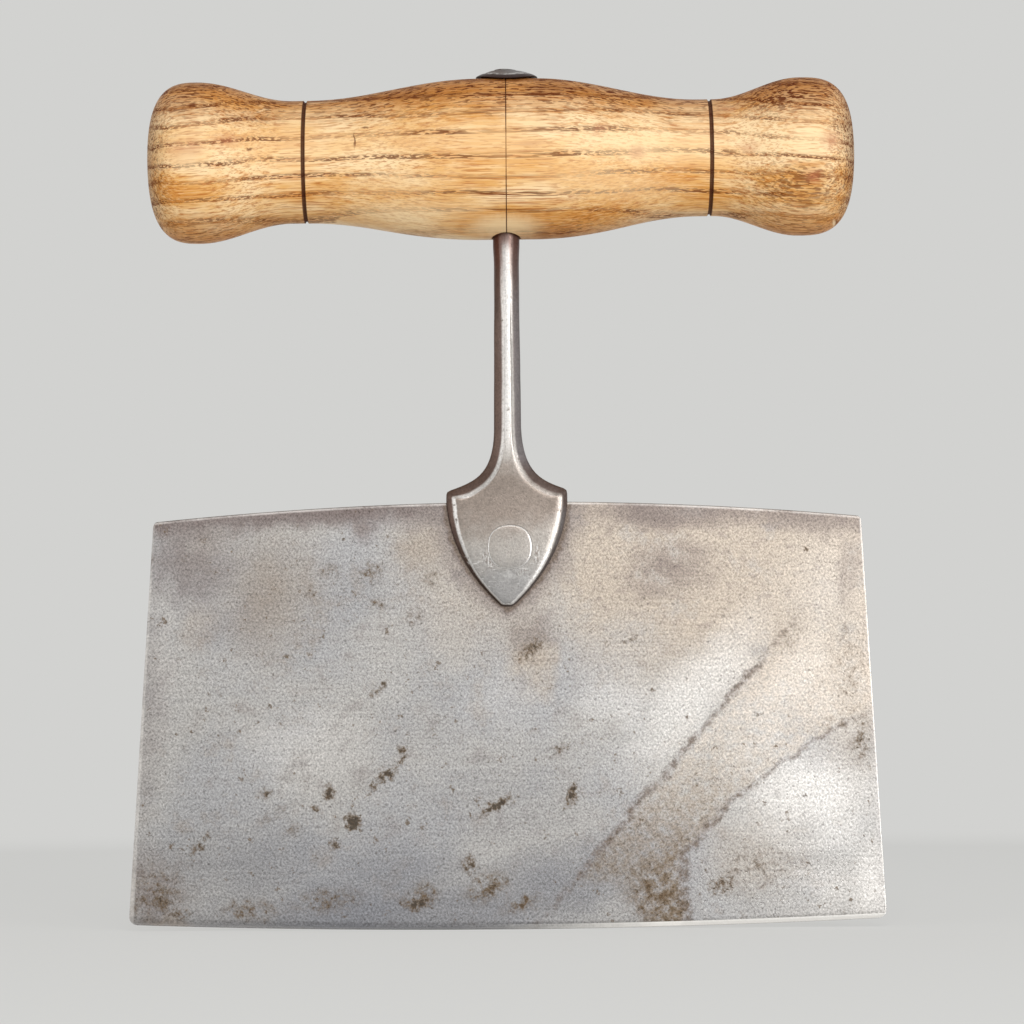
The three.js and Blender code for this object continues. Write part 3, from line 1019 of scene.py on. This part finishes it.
# Bare blade steel under an old stain
steelSetup = {
    "silver": tone(177, 174, 171),
    "cool": tone(167, 166, 167),
    "tan": tone(183, 171, 158),
    "dun": tone(156, 145, 134),
    "peach": tone(216, 202, 187),
    "bright": tone(224, 220, 216),
    "clean": tone(246, 243, 239),
    "plum": tone(124, 113, 110),
    "slate": tone(124, 125, 131),
    "stain": tone(140, 124, 106),
    "brown": tone(104, 88, 70),
    "rust": tone(104, 78, 50),
    "dark": tone(56, 49, 42),
    # x, z, width, height, turn, strength
    "tanPatches": (
        (0, 82, 74, 56, 0, 0.75), (5, 62, 18, 22, 0, 0.9), (-19, 91, 22, 26, 0, 0.7),
        (79, 52, 24, 70, 0, 0.6), (58, 17, 40, 26, 0, 0.35), (-81, 1.5, 16, 5, 0, 0.9),
        (-73, 72, 14, 18, 0, 0.4),
    ),
    "dunPatches": (
        (-56, 80, 40, 46, 8, 0.75), (4, 68, 14, 14, 30, 0.45), (6, 61, 14, 12, 0, 0.3),
        (-72, 92, 30, 20, 5, 0.5), (-20, 90, 24, 22, 0, 0.5),
    ),
    "brightPatches": (
        (44, 54, 70, 26, 48, 0.7), (66, 56, 60, 26, 48, 0.5), (60, 44, 44, 18, 48, 0.5),
        (76, 74, 36, 60, 0, 0.25), (78, 54, 26, 30, 0, 0.4), (72, 11, 40, 20, 0, 0.5),
        (70, 30, 50, 36, -20, 0.95), (84, 12, 18, 34, 0, 0.8), (26, 53, 34, 26, 0, 0.4),
        (-2, 54, 30, 22, 0, 0.3), (-50, 42, 50, 28, 0, 0.3), (-82, 64, 8, 60, 0, 0.2),
    ),
    "plumPatches": (
        (-38, 99, 40, 17, 3, 1.0), (-64, 97, 50, 15, 4, 0.1), (-85, 50, 14, 84, -3, 0.35),
        (-18, 98, 26, 10, 0, 0.5), (36, 98, 56, 14, -2, 0.75), (72, 95, 44, 10, -4, 0.45),
        (37, 84, 28, 20, 10, 0.7), (82, 83, 7, 24, 0, 0.4), (-76, 86, 34, 30, 5, 0.6),
        (-66, 74, 30, 24, 20, 0.2), (6, 69, 16, 12, 30, 0.45), (-33.5, 95, 16, 11, 0, 0.7),
        (-85, 9, 26, 24, 20, 0.6),
    ),
    "slatePatches": (
        (-30, 2, 176, 34, 2, 0.9), (-62, 15, 64, 28, 0, 0.65), (-24, 13, 66, 28, 0, 0.65),
        (12, 10, 66, 34, 10, 0.8), (58, 6, 50, 14, 0, 0.1), (0, 30, 70, 36, 0, 0.3),
        (-20, 47, 34, 22, 0, 0.2), (-2, 54, 30, 20, 0, 0.15), (-36, 80, 26, 26, 0, 0.15),
    ),
    "spots": (
        (-36.8, 25.3, 5.7, 7.3, 20, 1.0), (-42.2, 32.3, 4.1, 6.2, 0, 0.8),
        (-45.5, 28.6, 3.8, 3.2, 0, 0.55), (-40.6, 19.9, 4.6, 4.6, 0, 0.75),
        (-28.8, 36.2, 8.1, 4.9, 30, 0.75), (-25.2, 39.4, 7.3, 2.2, 45, 0.65),
        (-31.8, 33.4, 6.8, 2.7, 45, 0.5), (-25, 42.1, 4.3, 3.5, 0, 0.6),
        (-30.1, 56.6, 10.0, 2.7, 45, 0.55), (-72.5, 20.2, 13.5, 3.2, 50, 0.45),
        (-56.7, 32.2, 4.3, 3.8, 0, 0.6), (-2.8, 29, 13.5, 3.8, 28, 0.8),
        (14.8, 31.3, 5.1, 9.5, -15, 0.65), (13.0, 42.5, 8.1, 3.2, 30, 0.4),
        (-9.2, 15.1, 5.4, 6.8, 0, 0.6), (-21.4, 6.3, 12.2, 5.4, 0, 0.75),
        (49.8, 10, 10.8, 6.8, 20, 0.5), (83.1, 43.7, 4.6, 12.2, 0, 0.4),
        (70.5, 88.5, 2.2, 2.2, 0, 0.7), (5.5, 65.5, 12.2, 5.9, 40, 0.5), (-81, 7, 9, 7, 20, 0.5),
        (-77, 4, 8, 5, 0, 0.4), (-42.5, 6.5, 6, 5, 0, 0.5), (-4.5, 9.5, 12, 6, 25, 0.45),
    ),
    "mottles": (
        (-31.9, 84, 10, 10, 0, 0.9), (-41.8, 84, 8, 6, 0, 0.9), (-46, 79.5, 6, 5, 0, 0.8),
        (-30.8, 76.4, 7, 7, 0, 0.8), (-22.3, 73.3, 8, 7, 0, 0.8), (-18, 82, 9, 7, 0, 0.6),
        (-50.9, 23.5, 8, 6, 0, 0.7), (-55, 27, 20, 5, 30, 0.5), (12, 42, 12, 6, 30, 0.5),
        (-5.2, 10, 18, 11, 25, 1.0), (-19.8, 9, 12, 8, 0, 0.9), (3.2, 6, 14, 7, 10, 1.0),
        (-60.8, 4.9, 22, 8, 0, 1.0), (-42.5, 7, 24, 9, 5, 1.0), (-83, 9, 26, 22, 20, 0.8),
        (35, 7, 26, 20, -30, 1.0), (80, 60, 14, 44, 4, 0.45), (82, 44, 9, 26, 0, 0.4),
        (77, 48, 10, 16, -40, 0.42), (66, 68, 10, 12, -40, 0.5), (58, 14, 40, 22, 0, 0.5),
    ),
    "pitted": ((62, 12, 64, 26, 6, 1.0),),
    # where each run lies at the edge, how it slopes and bends, and how far left it gets
    "upperStreak": (5.5, 0.855, 0.0, 0.0),
    "lowerStreak": (35.1, 0.0777, 0.01768, 41.0),
    "shieldFall": (25.5, 2.2),  # how the tongue narrows below its widest place
}


def steelFinish(setup):
    steel = Finish("stainedSteel", setup)
    fade, lay, noise = steel.fade, steel.lay, steel.noise
    x, y, z = steel.axes(steel.place)
    front = fade(y, 0.3, -0.3)

    def seen(place, name, core=0.0):
        return steel.patches(place, name, core) * front

    spot = steel.vector(x, front * 80, z)
    turned = steel.add("ShaderNodeVectorRotate", {"rotation_type": "Y_AXIS"}, {"Vector": spot, "Angle": 0.6})
    flat = steel.vector(x, 0, z)
    wide = steel.ragged(flat, 0.07, 9, 6)
    jagged = steel.ragged(flat, 0.45, 1.6, 4)
    wideX, wideY, wideZ = steel.axes(wide)

    broad = noise(spot, 0.03, 4, 0.6)
    blotch = noise(spot, 0.12, 6, 0.7)
    sway = blotch - 0.5
    mottle = noise(turned, 0.45, 5, 0.7)
    freckles = noise(turned, 0.42, 3, 0.7)
    pepper = noise(turned, 1, 3, 0.75)
    grain = noise(turned, 1.9, 3, 0.75)
    rolled = noise(steel.stretch(spot, 0.05, 1, 1.6), 1, 3, 0.6)
    steel.color = setup["silver"]
    lay("cool", fade(broad, 0.42, 0.62))
    lay("dun", fade(blotch, 0.52, 0.72) * 0.5)
    lay("plum", fade(blotch, 0.46, 0.28) * 0.35)

    # warm film over the upper right, round the tongue and on parts of the back
    film = fade(wideZ + wideX * 0.3, 58, 88) * fade(wideX, 2, 20)
    film = film.most(steel.patches(wide, "tanPatches")) * front
    behind = fade(broad, 0.48, 0.66) * (1 - front)
    film = film.most(behind) * fade(blotch, 0.2, 0.5)
    lay("tan", film)
    lay("plum", film * fade(mottle, 0.5, 0.66) * 0.4)
    lay("dun", seen(wide, "dunPatches"))
    # painted reflection of the right lamp: brighter patches, mostly on the right, over some brighter polish
    bright = seen(wide, "brightPatches")
    lay("bright", bright * fade(blotch, 0.25, 0.45) * 0.9)
    slate = seen(wide, "slatePatches", 0.1)
    lay("slate", slate * 0.8)
    plum = seen(wide, "plumPatches", 0.1)
    lay("plum", plum * fade(blotch, 0.3, 0.52))
    archBend = bladeSetup["arch"] / bladeSetup["spineHalf"] ** 2
    topGap = bladeSetup["height"] - x * x * archBend - z + x * bladeSetup["rise"]
    band = fade(topGap + sway * 12, 6, 0.5)
    band = band * (fade(x, -12, -24) * 0.9 + fade(x, 18, 34) * 0.55) * front
    lay("plum", band)

    # painted shadow along the outline of the tongue, over a plum stain, and a brown painted contact shadow
    # at its edge
    reach, power = setup["shieldFall"]
    fall = steel.add("ShaderNodeMath", {"operation": "POWER"}, {0: ((100 - z) / reach).most(0), 1: power})
    gap = abs(x) - (1 - fall) * tangSetup["tongue"] + (mottle - 0.5) * 4
    halo = (fade(gap, 3.2, 0.2) * 0.85).most(fade(gap + sway * 16, 8, 0) * 0.55)
    lay("plum", halo * fade(z, 69, 75))
    lay("brown", fade(gap, 1.2, 0) * fade(z, 72, 75) * 0.5)

    # two runs of old wet with a dark line on each, brown between them low down
    frayX, frayY, frayZ = steel.axes(steel.ragged(flat, 0.18, 3, 8))
    runs = []
    for name in ("upperStreak", "lowerStreak"):
        start, slope, bend, least = setup[name]
        runs.append(frayX - (frayZ * slope + frayZ * frayZ * bend + start).most(least))
    upper = fade(abs(runs[0] - 0.3), 2.1, 0.1) * fade(frayZ, 78, 56)
    lower = fade(abs(runs[1]), 2.1, 0.1) * fade(frayZ, 56, 44)
    lines = upper.most(lower) * front * (fade(mottle, 0.38, 0.58) * 0.75 + 0.25)
    lines = lines * (fade(blotch, 0.32, 0.58) * 0.7 + 0.3)
    dry = fade(frayX + frayZ * 0.6, 29, 36).most(fade(frayZ, 9, 14))
    between = fade(runs[0], -1, 3) * fade(runs[1], 1, -3) * dry * front
    shore = fade(runs[1], -12, -1)
    damp = between * fade(frayZ, 74, 56) * fade(frayZ, 8, 46) * fade(mottle, 0.3, 0.6)
    lay("peach", damp * 0.45)
    soaked = between * (fade(frayZ, 52, 14) * 0.5 + shore * fade(frayZ, 30, 6) * 0.5)
    lay("stain", soaked * fade(mottle, 0.25, 0.6))
    lay("brown", soaked * fade(mottle + pepper, 0.9, 1.25))
    lines = lines * (0.35 + dry * 0.35)
    lay("plum", lines)
    lay("brown", lines * fade(mottle, 0.4, 0.6) * 0.8)
    lay("dark", lines * fade(pepper, 0.48, 0.64) * 0.4)

    marked = seen(jagged, "spots")
    torn = marked + (pepper - 0.5) * 2.2 + (mottle - 0.5) * 1.4
    spots = fade(torn, 0.3, 0.85) * fade(marked, 0.02, 0.2)
    fringe = fade(torn, 0, 0.45) * fade(marked, 0, 0.12)
    lay("brown", fringe * 0.5)
    mottles = seen(jagged, "mottles")
    cloudy = mottles * fade(mottle, 0.36, 0.6)
    lay("brown", cloudy * 0.65)
    mottles = mottles * fade(pepper + mottle, 0.94, 1.24)
    freckle = fade(freckles, 0.6, 0.72) * fade(pepper, 0.36, 0.54) * (1 - film * 0.7)
    marks = spots.most(freckle * 0.5).most(mottles * 0.75)
    lay("brown", fade(marks, 0.05, 0.5) * 0.8)
    rusted = fade(marks, 0.3, 0.6) * fade(mottle, 0.52, 0.6)
    lay("rust", rusted * 0.45)
    lay("dark", fade(marks, 0.45, 0.95) * 0.7)

    # pepper, grain and rolling lines all over
    lay("dark", fade(pepper, 0.56, 0.72) * 0.6)
    shade = 1 + (grain - 0.5) * 2.4 + (rolled - 0.5) * 0.4
    lay(shade, 1, "MULTIPLY")

    # the clean ground bevel under a dark line, and a painted highlight along the rim
    above = z - x * x * (bladeSetup["belly"] / bladeSetup["edgeHalf"] ** 2) - x * bladeSetup["rise"]
    line = fade(abs(above - bladeSetup["bevel"] - 0.2), 0.5, 0.1) * fade(mottle, 0.4, 0.6)
    lay("dark", line * 0.2)
    ground = fade(above, bladeSetup["bevel"] + 0.05, bladeSetup["bevel"] - 0.1)
    rubbed = fade(x + sway * 40, -10, 40)
    lay("clean", ground * rubbed)
    # painted shadow: a thin dark line along the cutting edge
    lay("dark", fade(above, 0.2, 0.05) * 0.4)
    sideSlope = (bladeSetup["edgeHalf"] - bladeSetup["spineHalf"]) / bladeSetup["height"]
    sideGap = bladeSetup["edgeHalf"] - z * sideSlope - abs(x)
    # painted highlight along the sides and the spine
    rim = fade(sideGap.least(topGap), 0.8, 0.35)
    lay("bright", rim * fade(blotch, 0.7, 0.4) * 0.45)
    # painted shadow: a thin dark line along the spine
    lay("dark", fade(topGap, 0.3, 0.1) * 0.6)

    worn = marks.most(soaked * 0.5).most(plum * 0.3)
    roughness = 0.46 + worn * 0.22 + (grain - 0.5) * 0.25
    steel.set({"Base Color": steel.color, "Metallic": 1 - marks * 0.6, "Roughness": roughness})
    pits = seen(flat, "pitted", 0.2) * fade(pepper, 0.54, 0.66)
    relief = grain * 0.7 + pepper * 0.5 + mottle * 0.5 - pits
    steel.set({"Normal": steel.bump(relief, 0.5, 0.12)})
    return steel


# Forged iron: bright where hands and cloth rub, with painted highlights on its edges, lighter on the right
# as painted light, brown in the chamfers
ironSetup = {
    "worn": tone(173, 167, 161),
    "cold": tone(153, 151, 150),
    "polishAndHighlight": tone(218, 215, 212),
    "oxide": tone(104, 86, 78),
    "gunmetal": tone(130, 124, 124),
    "warm": tone(143, 131, 122),
    "rust": tone(98, 60, 48),
    "pit": tone(64, 54, 48),
    "foot": tone(64, 44, 40),
    # x, z, width, height, turn, strength
    "scuffs": (
        (-4.6, 86.4, 2.6, 7.0, 28, 0.9), (7.0, 88.0, 2.2, 8.0, -6, 0.8),
        (3.5, 83.6, 6.0, 2.4, 20, 0.6),
    ),
}


# Black iron is dark with painted shade on its rim and a bright ring inside it, part rubbing and part painted
# highlight; filed iron is worn all over, and worn iron on its faces only
def ironFinish(setup, name):
    iron = Finish(name, setup)
    fade, lay, noise = iron.fade, iron.lay, iron.noise
    x, y, z = iron.axes(iron.place)
    cloud = noise(iron.place, 0.16, 4, 0.6)
    waver = cloud - 0.5
    mottle = noise(iron.place, 0.9, 4, 0.65)
    grain = noise(iron.place, 1.9, 3, 0.7)
    right = fade(x + waver * 3, -2.5, 3.5)
    shoulder = fade(z, 97, 100) * fade(z, 112, 106)
    iron.color = setup["oxide"]
    # painted light: lighter gunmetal on the right side, less on the shoulders
    lay("gunmetal", right * (1 - shoulder * 0.8))

    # the cheeks: warm above, cold below, worn between
    sway = z + waver * 16
    face = iron.mix(setup["worn"], setup["cold"], fade(sway, 90, 78))
    brow = fade(sway, 88, 100) * fade(sway, 114, 104)
    face = iron.mix(face, setup["warm"], brow * 0.95)
    rusty = fade(z + waver * 12, 146, 163) * fade(z, 196, 190)
    if name == "blackIron":
        aside = x - washerSetup["aside"]
        away = (aside * aside + y * y).root() + waver * 0.8
        # painted shade: the rim is darkened where it stands off the wood
        lay("foot", fade(away, 6, 6.5) * 0.9)
        # a bright ring near the rim, part rubbing and part painted highlight
        ring = fade(abs(away - 5.8), 0.6, 0.15) * fade(mottle, 0.62, 0.42)
        lay("polishAndHighlight", ring * 0.9)
    elif name == "filedIron":
        lay(face, fade(cloud, 0.2, 0.45))
        filed = fade(abs(y), rivetSetup["face"] - 0.015, rivetSetup["face"] - 0.06)
        lay("polishAndHighlight", filed * fade(mottle, 0.75, 0.5))
    else:
        crown = tangSetup["crown"]
        across, along = crown["reach"]
        lower, upper = crown["gone"]
        square = x * x / across ** 2 + (z - crown["at"]) * (z - crown["at"]) / along ** 2
        drop = square.least(1) * fade(z, upper, lower) * crown["drop"]
        depth = abs(y) + drop + waver * 0.25
        lay(face, fade(depth, 2.4, 2.85))
        # painted highlights along the arrises (stronger on the left), the shank's front facet and the edges
        # down to the tip, over real rubbing
        arris = fade(depth, 2.45, 2.75) * fade(depth, 3.07, 2.93) * (1 - right * 0.75)
        arris = arris * (1 - fade(z, 98, 104) * 0.2)
        stem = fade(z, 108, 120) * fade(abs(x - 0.1), 1.3, 0.5) * fade(depth, 2.7, 2.95)
        nicks = noise(iron.stretch(iron.place, 0.5, 1, 1.7), 1, 2)
        nicks = fade(nicks, 0.6, 0.7) * fade(z, 90, 86) * fade(z, 77, 82) * 0.8
        vee = fade(depth, 2.5, 2.72) * fade(depth, 3.06, 2.96) * fade(z, 94, 84)
        scuff = iron.patches(iron.place, "scuffs", 0.2) * fade(y, -2.4, -2.8)
        scrape = noise(iron.stretch(iron.place, 2.6, 1, 1.2), 1, 2)
        shine = arris.most(stem).most(nicks).most(vee).most(scuff * fade(scrape, 0.52, 0.6))
        lay("polishAndHighlight", shine * fade(mottle, 0.8, 0.5))
        lay("oxide", scuff * fade(scrape, 0.47, 0.4) * 0.6)
        rusty = rusty * (1 - stem * fade(z, 163, 159) * 0.8) * (1 - right * 0.2)
    lay("rust", rusty * 0.9)

    pits = fade(mottle, 0.58, 0.74)
    lay("pit", pits * 0.45)
    shade = 1 + (grain - 0.5) * 0.9 + (mottle - 0.5) * 0.5
    lay(shade, 1, "MULTIPLY")
    rough = 0.38 + pits * 0.25 + rusty * 0.1
    iron.set({"Base Color": iron.color, "Metallic": 0.95 - pits * 0.3, "Roughness": rough})
    relief = grain * 0.7 + mottle * 0.8 - pits * 0.5
    iron.set({"Normal": iron.bump(relief, 0.4, 0.12)})
    return iron


handle = makeHandle(handleSetup)
finishPiece(handle, ashFinish(ashSetup), "handle", 40)
tang = makeTang(tangSetup)
finishPiece(tang, ironFinish(ironSetup, "wornIron"), "tang", 35)
blade = makeBlade(bladeSetup)
finishPiece(blade, steelFinish(steelSetup), "blade", 35)
rivet = makeRivet(rivetSetup)
finishPiece(rivet, ironFinish(ironSetup, "filedIron"), "tongue_rivet", 35)
washer = makeWasher(washerSetup)
finishPiece(washer, ironFinish(ironSetup, "blackIron"), "tang_washer", 40)

# A plain pale floor that runs out into the background
stageSetup = {
    "pale": tone(210, 210, 208),
    "paper": tone(240, 240, 238),
    "reach": 12.0,
    "nearFade": 0.05,
    "farFade": 0.9,
    "glow": 0.75,
    "fill": 0.7,
}


# Rays that see the background: from the camera, a glossy surface or a clear one
def seeingRays(nodes):
    path = nodes.add("ShaderNodeLightPath").socket.node
    kinds = ("Is Camera Ray", "Is Glossy Ray", "Is Transmission Ray")
    camera, glossy, clear = [Wire(nodes, path.outputs[kind]) for kind in kinds]
    return camera.most(glossy).most(clear)


def makeStage(setup):
    clearAll()
    bpy.ops.mesh.primitive_circle_add(vertices=96, radius=setup["reach"], fill_type="NGON")
    floor = bpy.context.object
    floor.name = "paleFloor"
    paper = bpy.data.materials.new("palePaper")
    nodes = Nodes(paper)
    nodes.tree.nodes.clear()
    spot = nodes.add("ShaderNodeTexCoord", output="Object")
    away = nodes.vectorSum("LENGTH", {0: spot}, "Value")
    glowing = nodes.fade(away, setup["nearFade"], setup["farFade"]).most(seeingRays(nodes) * setup["glow"])
    lit = nodes.add("ShaderNodeBsdfDiffuse", None, {"Color": setup["paper"]})
    plain = nodes.add("ShaderNodeEmission", None, {"Color": setup["pale"]})
    nodes.show(nodes.add("ShaderNodeMixShader", None, {0: glowing, 1: lit, 2: plain}))
    floor.data.materials.append(paper)

    world = bpy.data.worlds.new("paleRoom")
    bpy.context.scene.world = world
    nodes = Nodes(world)
    back = nodes.tree.nodes["Background"]
    back.inputs["Color"].default_value = setup["pale"]
    levels = {"Value": seeingRays(nodes), "To Min": setup["fill"], "To Max": 1.0}
    nodes.feed(back.inputs["Strength"], nodes.add("ShaderNodeMapRange", None, levels))


lampAim = 95  # the height that the lamps face
lampSetup = {
    "right": {"place": (650, -900, 100), "size": 500, "power": 7.8},
    "left": {"place": (-900, -800, 100), "size": 700, "power": 2.6},
    "front": {"place": (60, -950, 625), "size": 450, "power": 2.8},
}


def makeLamps(setup):
    for name, row in setup.items():
        place = Vector(row["place"]) * mm
        bpy.ops.object.light_add(type="AREA", location=place)
        lamp = bpy.context.object
        lamp.name = name + "Lamp"
        aim = Vector((0, 0, lampAim * mm))
        lamp.rotation_euler = (aim - place).to_track_quat("-Z", "Y").to_euler()
        lamp.data.size = row["size"] * mm
        lamp.data.energy = row["power"]


makeStage(stageSetup)
makeLamps(lampSetup)
bpy.context.scene.view_settings.view_transform = "Standard"
print("stage and lamps set")
